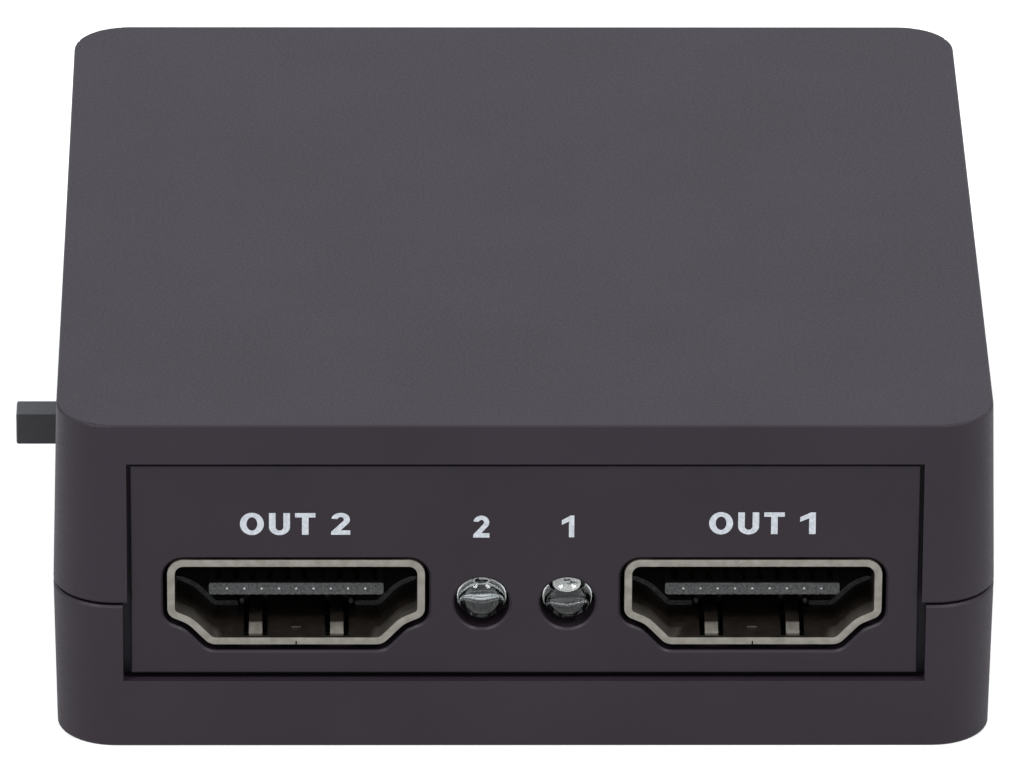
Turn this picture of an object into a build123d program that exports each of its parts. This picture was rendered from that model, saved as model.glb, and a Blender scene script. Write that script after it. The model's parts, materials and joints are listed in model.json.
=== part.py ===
from build123d import *
import math
import os

# A two-way video splitter box: two output sockets and two lamps in front, an input socket
# and a power jack at the back, and a slide switch in the left side.
# Lengths are in millimetres. X runs to the right of the front, Y to the back, Z up.
# The origin is the middle of the base, on the surface that the case stands on.

# Video socket: steel shell
socket_width = 14.86
socket_height = 5.41
socket_length = 12.1
socket_rim = 0.43
socket_lift = 0.3
socket_proud = 0.05
socket_outline_shares = ((0.5, 0.5), (0.5, -0.159), (0.419, -0.258), (0.336, -0.5))
socket_corner_shares = (0.175, 0.13, 0.28, 0.16)
socket_seam = 0.08
socket_tab_length = 1.2
socket_tab_share = 0.37
finger_width = 0.77
finger_pitch = 4.7
finger_slot = 0.3
finger_thickness = 0.25
finger_rise = 0.5
finger_tip_setback = 0.6
finger_crest_setback = 1.8
finger_root_setback = 5.6

# Video socket: moulding with its tongue
throat_depth = 9.0
tongue_width = 10.1
tongue_thickness = 0.74
tongue_rise = 0.15
tongue_setback = 1.5
tongue_edge = 0.12
skirt_setback = 4.3
skirt_thickness = 0.3
skirt_opening = 6.8
skirt_shoulder_rise = 0.45

# Video socket: contacts
contact_count = 19
contact_pitch = 0.5
contact_width = 0.3
contact_thickness = 0.12
contact_setback = 0.4
contact_foot = 0.9

# Lamps
lamp_radius = 1.45
lamp_flange_radius = 1.75
lamp_flange = 1.0
lamp_length = 5.3
lamp_pitch = 4.95
lamp_proud = 0.3
lamp_lead = 0.5
lamp_lead_pitch = 2.54
lamp_lead_run = 1.8
lamp_cup_radius = 0.45
lamp_cup_setback = 2.0

# Panels
panel_thickness = 0.9
panel_flange = 0.9
panel_flange_reach = 0.8
panel_recess = 0.4
panel_side_gap = 0.19
panel_top_gap = 0.16
panel_bottom_gap = 0.36
panel_edge_round = 0.12
panel_slip = 0.1
socket_hole_gap = 0.25
socket_hole_drop = 0.2
lamp_hole_gap = 0.16
lamp_hole_drop = 0.1
hole_bevel = 0.12
lamp_socket_space = 1.675
socket_side_space = 2.12
socket_foot_space = 1.88
socket_label_space = 6.0

# Case
case_depth = 58.4
case_cheek = 4.33
case_brow = 2.43
case_wall = 1.8
case_corner_radius = 3.6
upper_draft = 1.4
lower_draft = 1.0
top_edge_round = 0.15
bottom_edge_round = 0.2
seam_bevel = 0.12
seam_gap = 0.15
seam_depth = 0.5
parting_rise = 2.92
lower_opening_ease = 0.26
panel_rib = 1.2
lip_thickness = 0.8
lip_height = 0.9
lip_slip = 0.1
lip_end_gap = 1.0

# Board and what clamps it
board_thickness = 1.6
board_standoff = 2.8
board_side_gap = 0.4
board_end_gap = 0.3
pin_slip = 0.12
pin_overhang = 0.8
post_radius = 2.5
post_inset = 3.6
post_setback = 15.3

# Case screws
screw_radius = 1.15
screw_length = 10.0
screw_head_radius = 2.1
screw_head = 1.4
screw_head_round = 0.45
screw_seat = 2.1
screw_bite = 0.03
screw_clearance = 0.2
screw_head_clearance = 0.25
screw_head_wall = 0.95
screw_drive_width = 0.55
screw_drive_length = 2.4
screw_drive_depth = 0.8

# Slide switch
switch_length = 8.6
switch_depth = 4.4
switch_height = 4.4
switch_sheet = 0.3
switch_wall_gap = 0.7
switch_centre = -1.75
switch_base_depth = 1.1
switch_pin_pitch = 2.5
switch_pin_width = 0.6
switch_pin_sheet = 0.3
switch_pin_run = 1.0
switch_pad_width = 1.2
switch_pad = 0.15
switch_tab = 1.0
knob_width = 1.84
knob_height = 1.94
knob_reach = 2.71
knob_travel = 2.0
knob_slot_gap = 0.32
knob_window_gap = 0.3
knob_edge = 0.12
slider_thickness = 1.6
slider_end_gap = 0.2
slider_slip = 0.08
wiper_sheet = 0.2
wiper_leg = 0.5
wiper_gap = 0.05

# Power jack
jack_width = 6.4
jack_length = 9.5
jack_height = 6.0
jack_collar_radius = 2.7
jack_bore_radius = 1.85
jack_bore_depth = 8.0
jack_hole_gap = 0.2
jack_pin_radius = 0.65
jack_pin_setback = 1.0
jack_side_space = 7.5
jack_spring_width = 1.5
jack_spring_sheet = 0.3
jack_spring_setback = 3.2
jack_spring_reach = 3.4
jack_spring_rise = 0.2
jack_pin_tail = 1.6
input_side_space = 5.5

# Chips on the board
chip_side = 10.0
chip_height = 1.4
chip_pin_count = 16
chip_pin_pitch = 0.5
chip_pin_width = 0.22
chip_dot_radius = 0.45
chip_dot_share = 0.4
helper_width = 4.4
helper_length = 6.5
helper_height = 1.0
helper_pin_count = 10
helper_pin_pitch = 0.65
memory_width = 3.9
memory_length = 4.9
memory_height = 1.5
memory_pin_count = 4
memory_pin_pitch = 1.27
memory_pin_width = 0.42
lead_sheet = 0.15
lead_shoulder = 0.25
lead_leg = 0.3
lead_foot = 0.45
lead_stand = 0.1
part_space = 1.2

# Voltage regulators
regulator_width = 6.5
regulator_length = 3.5
regulator_height = 1.6
regulator_pin_count = 3
regulator_pin_pitch = 2.3
regulator_pin_width = 0.7
regulator_tab_width = 3.0
core_width = 2.9
core_length = 1.6
core_height = 1.1
core_pin_pitch = 0.95
core_pin_width = 0.4

# Crystal, capacitors, resistors and protection parts
crystal_length = 5.0
crystal_width = 3.2
crystal_base_height = 0.6
crystal_lid_height = 0.6
crystal_lid_inset = 0.3
can_radius = 2.0
can_height = 5.0
can_edge = 0.35
can_base_side = 4.3
can_base_height = 0.8
can_base_corner = 0.9
small_length = 1.6
small_width = 0.8
small_height = 0.6
small_end = 0.35
small_pitch = 1.6
small_count = 5
surge_length = 2.5
surge_width = 1.0
surge_height = 0.5
surge_pitch = 4.4
bead_length = 2.0
bead_width = 1.25
bead_height = 0.9
fuse_length = 4.5
fuse_width = 3.2
fuse_height = 1.0

# One overrun serves every cut that has to pass right through
overrun = 1.0

# Heights that follow from the sizes
board_bottom = case_wall + board_standoff
board_top = board_bottom + board_thickness
socket_middle = socket_lift + socket_height / 2
socket_axis = board_top + socket_middle
panel_bottom = board_top + socket_lift - socket_foot_space
panel_top = board_top + socket_lift + socket_height + socket_label_space
opening_bottom = panel_bottom - panel_bottom_gap
opening_top = panel_top + panel_top_gap
parting = board_top + parting_rise
upper_bottom = parting + seam_gap
case_height = opening_top + case_brow
ceiling = case_height - case_wall

# Widths that follow from the sizes
lamp_hole_radius = lamp_radius + lamp_hole_gap
socket_offset = lamp_pitch / 2 + lamp_hole_radius + lamp_socket_space + socket_width / 2
panel_half = socket_offset + socket_width / 2 + socket_side_space
opening_half = panel_half + panel_side_gap
case_half = opening_half + case_cheek
inner_half = case_half - case_wall
board_half = inner_half - board_side_gap
post_x = inner_half - post_inset
input_x = panel_half - input_side_space - socket_width / 2
jack_x = jack_width / 2 + jack_side_space - panel_half

# Distances behind the case's front or rear face that follow from the sizes
panel_face = panel_recess
flange_face = panel_face + panel_thickness
flange_back = flange_face + panel_flange
groove_face = flange_face - panel_slip
groove_back = flange_back + panel_slip
frame_back = groove_back + panel_rib
front = -case_depth / 2
socket_mouth = panel_face - socket_proud
board_tip = flange_back + board_end_gap
post_y = case_depth / 2 - post_setback


def block(x, y, z):
    # A box between a low and a high limit on each axis.
    sizes = [high - low for low, high in (x, y, z)]
    return Pos(x[0], y[0], z[0]) * Box(*sizes, align=(Align.MIN, Align.MIN, Align.MIN))


def post(x, y, radius, bottom, top):
    # An upright cylinder.
    upright = Cylinder(radius, top - bottom, align=(Align.CENTER, Align.CENTER, Align.MIN))
    return Pos(x, y, bottom) * upright


def bar(radius, start, end, height):
    # A cylinder along Y at a height, on the middle plane.
    return Pos(0, start, height) * Rot(-90, 0, 0) * Cylinder(
        radius, end - start, align=(Align.CENTER, Align.CENTER, Align.MIN))


def prism_y(face, start, end):
    # A face drawn in X and Z, carried along Y from start to end.
    return Pos(0, start, 0) * extrude(Plane.XZ * face, amount=start - end)


def prism_x(points, width):
    # A closed outline of (y, z) points, half the width to each side along X.
    face = make_face(Polyline(*points, close=True))
    return extrude(Plane.YZ * face, amount=width / 2, both=True)


def at_rear(x, setback):
    # The place of a part that looks out of the back of the case.
    return Pos(x, -front - setback, 0) * Rot(0, 0, 180)


def at_front(x, setback):
    # The place of a part that looks out of the front of the case.
    return Pos(x, front + setback, 0)


def centred(middle, size):
    # The limits of a size about its middle.
    return (middle - size / 2, middle + size / 2)


# Video socket. Each function draws it with its mouth at Y zero, over the board's top at Z zero.

def socket_face(grow):
    # The mouth's outline, grown outwards or, below zero, drawn in.
    right = [(x * socket_width, z * socket_height) for x, z in socket_outline_shares]
    left = [(-x, z) for x, z in reversed(right)]
    radii = [share * socket_height for share in socket_corner_shares]
    line = FilletPolyline(*right, *left, radius=radii + radii[::-1], close=True)
    face = Pos(0, socket_middle) * make_face(line)
    return offset(face, amount=grow, kind=Kind.INTERSECTION) if grow else face


def socket_fingers():
    # Two spring fingers in the floor of the shell and two in its roof, each in its window.
    floor = socket_lift
    inside = floor + socket_rim
    tip, crest, root = finger_tip_setback, finger_crest_setback, finger_root_setback
    top = inside + finger_rise
    outline = [(tip, inside - finger_thickness), (tip, inside), (crest, top),
               (root + socket_rim, inside), (root + socket_rim, inside - finger_thickness),
               (root, inside - finger_thickness), (crest, top - finger_thickness)]
    finger = prism_x(outline, finger_width)
    window = block(centred(0, finger_width + 2 * finger_slot), (tip - finger_slot, root),
                   (floor - overrun, inside + finger_rise / 2))
    upside_down = Pos(0, 0, 2 * socket_middle) * Rot(0, 180, 0)
    places = []
    for side in (-1, 1):
        places.append(Pos(side * finger_pitch / 2, 0, 0))
        places.append(upside_down * Pos(side * finger_pitch / 2, 0, 0))
    return [place * finger for place in places], [place * window for place in places]


def socket_tabs(grow):
    # Four soldered tabs, two on each side of the shell; grow gives the board's slots.
    tabs = []
    inset = socket_tab_share * socket_length
    for side in (-1, 1):
        for y in (inset, socket_length - socket_tab_length):
            x = side * (socket_width - socket_rim) / 2
            tabs.append(block(centred(x, socket_rim + 2 * grow), centred(y, socket_tab_length + 2 * grow),
                              (-board_thickness - pin_overhang, socket_middle)))
    return tabs


def socket_shell():
    fingers, windows = socket_fingers()
    shell = prism_y(socket_face(0), 0, socket_length) - prism_y(socket_face(-socket_rim), -overrun,
                                                                socket_length + overrun)
    shell -= windows
    shell -= block(centred(0, socket_seam), (-overrun, socket_length + overrun),
                   (socket_lift - overrun, socket_lift + socket_rim / 2))
    shell += fingers
    shell += socket_tabs(0)
    return shell


def contact_height(row):
    # The underside of a contact strip: row 0 lies on the tongue, row 1 under it.
    middle = socket_middle + tongue_rise
    if row == 0:
        return middle + tongue_thickness / 2 - contact_thickness
    return middle - tongue_thickness / 2


def socket_contacts():
    # Strips along both sides of the tongue, down behind the moulding and onto the board.
    contacts = []
    start = tongue_setback + contact_setback
    end = socket_length
    drop = end + contact_thickness
    for place in range(contact_count):
        low = contact_height(place % 2)
        high = low + contact_thickness
        outline = [(start, low), (start, high), (drop, high), (drop, contact_thickness),
                   (drop + contact_foot, contact_thickness), (drop + contact_foot, 0), (end, 0), (end, low)]
        x = (place - (contact_count - 1) / 2) * contact_pitch
        contacts.append(Pos(x, 0, 0) * prism_x(outline, contact_width))
    return contacts


def socket_moulding():
    # A back block with the tongue, and a thin skirt that lines the lower half of the shell.
    face = socket_face(-socket_rim)
    moulding = prism_y(face, throat_depth, socket_length)
    tongue = block(centred(0, tongue_width), (tongue_setback, throat_depth + overrun),
                   centred(socket_middle + tongue_rise, tongue_thickness))
    moulding += fillet(tongue.edges().filter_by(Axis.Y), tongue_edge)
    lining = prism_y(face, skirt_setback, throat_depth + overrun)
    lining -= prism_y(socket_face(-socket_rim - skirt_thickness), skirt_setback - overrun, throat_depth)
    shoulder = socket_middle + socket_outline_shares[1][1] * socket_height + skirt_shoulder_rise
    lining -= block(centred(0, 2 * socket_width), (skirt_setback - overrun, throat_depth),
                    (shoulder, shoulder + socket_height))
    lining -= block(centred(0, skirt_opening), (skirt_setback - overrun, throat_depth), (0, socket_middle))
    return moulding + lining - socket_contacts()


def save_socket(name, place):
    save(name + "_shell", [place * socket_shell()])
    save(name + "_moulding", [place * socket_moulding()])
    save(name + "_contacts", [place * contact for contact in socket_contacts()])


# Lamps, drawn with the tip of the dome at Y zero.

def lamp_leads():
    # Two square wires with the cup and the post inside the lens, bent down into the board.
    leads = []
    low = socket_middle - lamp_lead / 2
    high = socket_middle + lamp_lead / 2
    bend = lamp_length + lamp_lead_run
    outline = [(lamp_cup_setback, low), (lamp_cup_setback, high), (bend + lamp_lead, high),
               (bend + lamp_lead, -board_thickness - pin_overhang), (bend, -board_thickness - pin_overhang),
               (bend, low)]
    for side in (-1, 1):
        lead = Pos(side * lamp_lead_pitch / 2, 0, 0) * prism_x(outline, lamp_lead)
        if side < 0:
            cup = bar(lamp_cup_radius, lamp_cup_setback, lamp_cup_setback + lamp_cup_radius, socket_middle)
            arm = block((-lamp_lead_pitch / 2, 0), (lamp_cup_setback, lamp_cup_setback + lamp_lead),
                        (low, high))
            lead += [cup, arm]
        leads.append(lead)
    return leads


def lamp_lens():
    # A dome on a barrel with a foot flange, turned about its axis.
    radius = lamp_radius
    barrel = lamp_length - lamp_flange
    rim = lamp_flange_radius
    dome_point = (radius * math.sin(math.pi / 4), radius * (1 - math.cos(math.pi / 4)))
    dome = ThreePointArc((0, 0), dome_point, (radius, radius))
    sides = Polyline((radius, radius), (radius, barrel), (rim, barrel), (rim, lamp_length), (0, lamp_length),
                     (0, 0))
    lens = revolve(make_face(Curve() + [dome, sides]), Axis.Y)
    return Pos(0, 0, socket_middle) * lens - lamp_leads()


def lamp_holes():
    bend = lamp_length + lamp_lead_run + lamp_lead / 2
    side = lamp_lead + 2 * pin_slip
    return [block(centred(x * lamp_lead_pitch / 2, side), centred(bend, side),
                  (-board_thickness - overrun, overrun)) for x in (-1, 1)]


# Power jack, drawn with its face at Y zero.

def jack_pin():
    # The centre pin, with a flat tail behind the housing that goes through the board.
    back = panel_thickness + panel_flange + jack_length
    pin = bar(jack_pin_radius, jack_pin_setback, back, jack_height / 2)
    tail = block(centred(0, jack_pin_tail), (back, back + jack_spring_sheet),
                 (-board_thickness - pin_overhang, jack_height / 2 + jack_pin_radius))
    return pin + tail


def jack_spring():
    # The leaf that touches the plug's sleeve from below, with its own tail through the board.
    bore_floor = jack_height / 2 - jack_bore_radius
    start = jack_spring_setback
    crest = start + jack_spring_reach / 2
    end = start + jack_spring_reach
    sheet = jack_spring_sheet
    outline = [(start, bore_floor - sheet), (start, bore_floor), (crest, bore_floor + jack_spring_rise),
               (end, bore_floor), (end + sheet, bore_floor), (end + sheet, -board_thickness - pin_overhang),
               (end, -board_thickness - pin_overhang), (end, bore_floor - sheet),
               (crest, bore_floor + jack_spring_rise - sheet)]
    return prism_x(outline, jack_spring_width)


def jack_housing():
    start = panel_thickness + panel_flange
    housing = block(centred(0, jack_width), (start, start + jack_length), (0, jack_height))
    housing += bar(jack_collar_radius, 0, start + overrun, jack_height / 2)
    housing -= bar(jack_bore_radius, -overrun, jack_bore_depth, jack_height / 2)
    housing -= bar(jack_pin_radius, jack_bore_depth - overrun, start + jack_length + overrun, jack_height / 2)
    slot = block(centred(0, jack_spring_width + 2 * pin_slip),
                 (jack_spring_setback - pin_slip, jack_spring_setback + jack_spring_reach
                  + jack_spring_sheet + pin_slip),
                 (-overrun, jack_height / 2 - jack_pin_radius - jack_spring_rise))
    return housing - slot


def jack_holes():
    back = panel_thickness + panel_flange + jack_length
    spring = jack_spring_setback + jack_spring_reach
    holes = []
    for y, width in ((back, jack_pin_tail), (spring, jack_spring_width)):
        holes.append(block(centred(0, width + 2 * pin_slip), (y - pin_slip, y + jack_spring_sheet + pin_slip),
                           (-board_thickness - overrun, overrun)))
    return holes


# Panels

def panel_plate():
    # The plate that shows, with a thinner flange behind it that sits in the case's groove.
    plate = block((-panel_half, panel_half), (front + panel_face, front + flange_face + panel_flange / 2),
                  (panel_bottom, panel_top))
    face = plate.faces().sort_by(Axis.Y)[0]
    plate = fillet(face.edges(), panel_edge_round)
    reach = panel_flange_reach
    flange = block((-panel_half - reach, panel_half + reach), (front + flange_face, front + flange_back),
                   (panel_bottom - reach, panel_top + reach))
    return plate + flange


def socket_hole(x):
    hole = prism_y(socket_face(socket_hole_gap), front - overrun, front + frame_back)
    return Pos(x, 0, board_top - socket_hole_drop) * hole


def round_hole(x, radius, height):
    return Pos(x, 0, -lamp_hole_drop) * bar(radius, front - overrun, front + frame_back, height)


def bevel_holes(panel):
    # A small bevel all round each hole, on the side that shows.
    face = panel.faces().sort_by(Axis.Y)[0]
    rims = [edge for wire in face.inner_wires() for edge in wire.edges()]
    return chamfer(rims, hole_bevel)


def front_panel():
    panel = panel_plate()
    for side in (-1, 1):
        panel -= socket_hole(side * socket_offset)
        panel -= round_hole(side * lamp_pitch / 2, lamp_hole_radius, socket_axis)
    return bevel_holes(panel)


def rear_panel():
    # Made like the front one and turned round, so its places along X are mirrored here.
    panel = panel_plate() - socket_hole(-input_x)
    panel -= round_hole(-jack_x, jack_collar_radius + jack_hole_gap, board_top + jack_height / 2)
    return Rot(0, 0, 180) * bevel_holes(panel)


# Case

def case_outline(inset):
    # The case's widest outline seen from above, drawn in by an inset.
    return RectangleRounded(2 * (case_half - inset), case_depth - 2 * inset, case_corner_radius - inset)


def drafted_half(start, height, draft):
    # A half of the outside, from its widest outline outwards; a negative height goes down.
    return extrude(Pos(0, 0, start) * case_outline(0), amount=height, taper=draft)


def level_block(inset, bottom, top):
    return extrude(Pos(0, 0, bottom) * case_outline(inset), amount=top - bottom)


def panel_frames(bottom, top):
    # Solid bands behind the front and rear walls that carry the panels' grooves.
    frames = []
    depth = case_depth / 2
    for side in (-1, 1):
        y = sorted((side * (depth - case_wall), side * (depth - frame_back)))
        frames.append(block((-inner_half, inner_half), y, (bottom, top)))
    return frames


def panel_cuts(ease):
    # The opening that each panel shows in, and the groove that its flange sits in.
    cuts = []
    depth = case_depth / 2
    half = opening_half + ease
    reach = panel_flange_reach + panel_slip
    for side in (-1, 1):
        through = sorted((side * (depth + overrun), side * (depth - frame_back - overrun)))
        groove = sorted((side * (depth - groove_face), side * (depth - groove_back)))
        cuts.append(block((-half, half), through, (opening_bottom, opening_top)))
        cuts.append(block((-panel_half - reach, panel_half + reach), groove,
                          (panel_bottom - reach, panel_top + reach)))
    return cuts


def knob_window():
    # The slot in the left wall, long enough for the knob's travel.
    low = knob_rest - knob_width / 2 - knob_slot_gap
    high = knob_rest + knob_travel + knob_width / 2 + knob_slot_gap
    half_height = knob_height / 2 + knob_window_gap
    return block((-case_half - overrun, -inner_half + overrun), (low, high),
                 (knob_axis - half_height, knob_axis + half_height))


def lip_strips(slip):
    # Raised strips along both side walls of the lower half; slip gives the upper half's rebates.
    strips = []
    end = case_depth / 2 - frame_back - lip_end_gap + slip
    for side in (-1, 1):
        x = sorted((side * inner_half, side * (inner_half + lip_thickness + slip)))
        strips.append(block(x, (-end, end), (parting, parting + lip_height + slip)))
    return strips


def corners():
    # The four places of the posts, bosses and screws.
    return [(x, y) for x in (-post_x, post_x) for y in (-post_y, post_y)]


def upper_shell():
    # The halves meet on a ledge set in from the outside, so that a dark line shows all round.
    shell = drafted_half(upper_bottom, case_height - upper_bottom, upper_draft)
    shell = fillet(shell.faces().sort_by(Axis.Z)[-1].edges(), top_edge_round)
    shell = chamfer(shell.faces().sort_by(Axis.Z)[0].edges(), seam_bevel)
    shell += level_block(seam_depth, parting, upper_bottom)
    shell -= level_block(case_wall, parting, ceiling)
    shell += panel_frames(parting, ceiling)
    shell -= panel_cuts(0)
    shell -= lip_strips(lip_slip)
    shell -= knob_window()
    shell += [post(x, y, post_radius, board_top, ceiling) for x, y in corners()]
    pilot_top = screw_seat + screw_length + screw_bite
    shell -= [post(x, y, screw_radius + screw_bite, board_top, pilot_top) for x, y in corners()]
    return shell


def lower_shell():
    shell = drafted_half(parting, -parting, lower_draft)
    shell = fillet(shell.faces().sort_by(Axis.Z)[0].edges(), bottom_edge_round)
    shell = chamfer(shell.faces().sort_by(Axis.Z)[-1].edges(), seam_bevel)
    shell -= level_block(case_wall, case_wall, parting)
    shell += panel_frames(case_wall, parting)
    shell -= panel_cuts(lower_opening_ease)
    shell += lip_strips(0)
    shell -= knob_window()
    boss_radius = screw_head_radius + screw_head_clearance + screw_head_wall
    shell += [post(x, y, boss_radius, case_wall, board_bottom) for x, y in corners()]
    shell -= [post(x, y, screw_radius + screw_clearance, 0, board_bottom) for x, y in corners()]
    head_hole = screw_head_radius + screw_head_clearance
    shell -= [post(x, y, head_hole, 0, screw_seat) for x, y in corners()]
    return shell


def case_screws():
    # Pan heads that seat on the bosses from below, each with a cross drive.
    screw = post(0, 0, screw_head_radius, screw_seat - screw_head, screw_seat)
    screw = fillet(screw.edges().sort_by(Axis.Z)[0], screw_head_round)
    screw += post(0, 0, screw_radius, screw_seat, screw_seat + screw_length)
    base = screw_seat - screw_head
    drive = (base - overrun, base + screw_drive_depth)
    long_side = centred(0, screw_drive_length)
    short_side = centred(0, screw_drive_width)
    screw -= block(long_side, short_side, drive)
    screw -= block(short_side, long_side, drive)
    return [Pos(x, y, 0) * screw for x, y in corners()]


# Slide switch. Its lever slot faces the left wall.

switch_face = -inner_half + switch_wall_gap
switch_back = switch_face + switch_depth
knob_axis = board_top + switch_height / 2
knob_rest = switch_centre - knob_travel / 2
slider_face = switch_face + switch_sheet + slider_slip
slider_back = slider_face + slider_thickness
wiper_tip = switch_back - switch_base_depth - switch_pad - wiper_gap
slider_length = switch_length - 2 * switch_sheet - knob_travel - 2 * slider_end_gap


def switch_pin_places():
    return [switch_centre + step * switch_pin_pitch for step in (-1, 0, 1)]


def switch_tab_places():
    return [switch_centre + side * (switch_length - switch_sheet) / 2 for side in (-1, 1)]


def switch_frame():
    # A folded sheet cover, open towards the board's middle, with two soldered tabs.
    y = centred(switch_centre, switch_length)
    z = (board_top, board_top + switch_height)
    frame = block((switch_face, switch_back), y, z)
    sheet = switch_sheet
    frame -= block((switch_face + sheet, switch_back + overrun), (y[0] + sheet, y[1] - sheet),
                   (z[0] + sheet, z[1] - sheet))
    half_height = knob_height / 2 + knob_window_gap
    frame -= block((switch_face - overrun, switch_face + overrun),
                   (knob_rest - knob_width / 2 - knob_window_gap,
                    knob_rest + knob_travel + knob_width / 2 + knob_window_gap),
                   (knob_axis - half_height, knob_axis + half_height))
    middle = (switch_face + switch_back) / 2
    for y in switch_tab_places():
        frame += block(centred(middle, switch_tab), centred(y, sheet), (board_bottom - pin_overhang, z[1]))
    return frame


def switch_terminals():
    # A contact pad on the base's inner face, a strip through the base and a pin into the board.
    terminals = []
    inner = switch_back - switch_base_depth
    end = switch_back + switch_pin_run
    for y in switch_pin_places():
        pad = block((inner - switch_pad, inner), centred(y, switch_pad_width),
                    centred(knob_axis, knob_height))
        strip = block((inner, end), centred(y, switch_pin_width), centred(knob_axis, switch_pin_sheet))
        pin = block((end - switch_pin_sheet, end), centred(y, switch_pin_width),
                    (board_bottom - pin_overhang, knob_axis))
        terminals.append(pad + strip + pin)
    return terminals


def switch_base():
    sheet = switch_sheet
    base = block((switch_back - switch_base_depth, switch_back),
                 (switch_centre - switch_length / 2 + sheet, switch_centre + switch_length / 2 - sheet),
                 (board_top + sheet, board_top + switch_height - sheet))
    return base - switch_terminals()


def switch_knob():
    # The slider inside the frame and the lever that stands out of the case.
    height = switch_height - 2 * switch_sheet - 2 * slider_slip
    slider = block((slider_face, slider_back), centred(knob_rest, slider_length), centred(knob_axis, height))
    tip = -case_half - knob_reach
    lever = block((tip, slider_back), centred(knob_rest, knob_width), centred(knob_axis, knob_height))
    lever = fillet(lever.faces().sort_by(Axis.X)[0].edges(), knob_edge)
    return lever + slider


def switch_wiper():
    # A sprung strip on the slider's back whose two legs bridge neighbouring pads.
    height = knob_height
    length = switch_pin_pitch + wiper_leg
    wiper = block((slider_back, slider_back + wiper_sheet), centred(knob_rest, length),
                  centred(knob_axis, height / 2))
    for side in (-1, 1):
        y = knob_rest + side * switch_pin_pitch / 2
        wiper += block((slider_back, wiper_tip), centred(y, wiper_leg), centred(knob_axis, height / 2))
    return wiper


# Parts on the board, each drawn about its own middle with the board's top at Z zero.

def gull_lead(width, height, shoulder_stand):
    # A bent lead that leaves the body sideways and lands on the board, drawn out along Y.
    sheet = lead_sheet
    low = height / 2 - sheet / 2 + shoulder_stand
    out = lead_shoulder
    foot = lead_shoulder + lead_leg
    end = foot + lead_foot
    outline = [(0, low), (0, low + sheet), (out + sheet, low + sheet), (foot + sheet, sheet), (end, sheet),
               (end, 0), (foot, 0), (out, low)]
    return prism_x(outline, width)


def lead_row(width, pitch, count, edge, height):
    # A row of leads that leaves a body's edge towards +Y.
    lead = gull_lead(width, height, lead_stand)
    return [Pos((place - (count - 1) / 2) * pitch, edge, 0) * lead for place in range(count)]


def chip_body(width, length, height):
    body = block(centred(0, width), centred(0, length), (lead_stand, height + lead_stand))
    return fillet(body.edges().filter_by(Axis.Z), lead_stand)


def splitter_chip():
    rows = []
    for quarter in range(4):
        row = lead_row(chip_pin_width, chip_pin_pitch, chip_pin_count, chip_side / 2, chip_height)
        rows += [Rot(0, 0, 90 * quarter) * lead for lead in row]
    body = chip_body(chip_side, chip_side, chip_height)
    place = -chip_side * chip_dot_share
    dot = post(place, place, chip_dot_radius, chip_height, chip_height + overrun)
    return body - dot, rows


def two_row_chip(width, length, height, pins, pitch, pin_width):
    # Leads leave both long sides, which face +Y and -Y.
    row = lead_row(pin_width, pitch, pins, width / 2, height)
    rows = row + [Rot(0, 0, 180) * lead for lead in row]
    return chip_body(length, width, height), rows


def regulator(width, length, height, pins, pitch, pin_width, tab_width):
    # Leads on the -Y side and one wide tab, or a single narrow lead, on the +Y side.
    rows = [Rot(0, 0, 180) * lead for lead in lead_row(pin_width, pitch, pins, length / 2, height)]
    rows += lead_row(tab_width, pitch, 1, length / 2, height)
    return chip_body(width, length, height), rows


def end_capped(length, width, height, end):
    # A small part along X with a metal cap on each end.
    body = block(centred(0, length - 2 * end), centred(0, width), (0, height))
    caps = [block(sorted((side * (length / 2 - end), side * length / 2)), centred(0, width), (0, height))
            for side in (-1, 1)]
    return body, caps


def crystal():
    base = block(centred(0, crystal_length), centred(0, crystal_width), (0, crystal_base_height))
    inset = 2 * crystal_lid_inset
    lid = block(centred(0, crystal_length - inset), centred(0, crystal_width - inset),
                (crystal_base_height, crystal_base_height + crystal_lid_height))
    return base, fillet(lid.edges().filter_by(Axis.Z), crystal_lid_inset)


def can_capacitor():
    base = block(centred(0, can_base_side), centred(0, can_base_side), (0, can_base_height))
    base = chamfer(base.edges().filter_by(Axis.Z).group_by(Axis.X)[-1], can_base_corner)
    can = post(0, 0, can_radius, can_base_height, can_base_height + can_height)
    return base, fillet(can.edges().sort_by(Axis.Z)[-1], can_edge)


# Places on the board that follow from the sizes

chip_reach = chip_side / 2 + lead_shoulder + lead_leg + lead_foot
lead_reach = lead_shoulder + lead_leg + lead_foot
row_y = chip_reach + part_space + small_width / 2
row_half = ((small_count - 1) * small_pitch + small_width) / 2
tails = socket_length + socket_mouth + contact_thickness + contact_foot
surge_y = case_depth / 2 - tails - part_space - surge_width / 2
helper_x = chip_reach + part_space + lead_reach + helper_width / 2
memory_x = chip_reach + part_space + lead_reach + memory_width / 2
crystal_y = memory_length / 2 + part_space + crystal_length / 2
jack_back = case_depth / 2 - panel_face - panel_thickness - panel_flange - jack_length
main_y = jack_back - 2 * part_space - lead_reach - regulator_length / 2
can_x = jack_x - jack_width / 2 - part_space - can_base_side / 2
can_y = case_depth / 2 - frame_back - part_space - can_base_side / 2
input_edge = input_x - socket_width / 2
fuse_x = (jack_x + jack_width / 2 + input_edge) / 2
core_y = chip_reach + part_space + lead_reach + core_length / 2
row_x = fuse_x + core_width / 2 + part_space + row_half


def on_board(x, y, turn=0):
    return Pos(x, y, board_top) * Rot(0, 0, turn)


def small_row(x, y):
    # Places in a row across the board, about a middle.
    steps = [(place - (small_count - 1) / 2) * small_pitch for place in range(small_count)]
    return [on_board(x + step, y, 90) for step in steps]


def surge_places():
    places = []
    for middle, side in ((-socket_offset, -1), (socket_offset, -1), (input_x, 1)):
        for step in (-1, 1):
            places.append(on_board(middle + step * surge_pitch / 2, side * surge_y))
    return places


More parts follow.
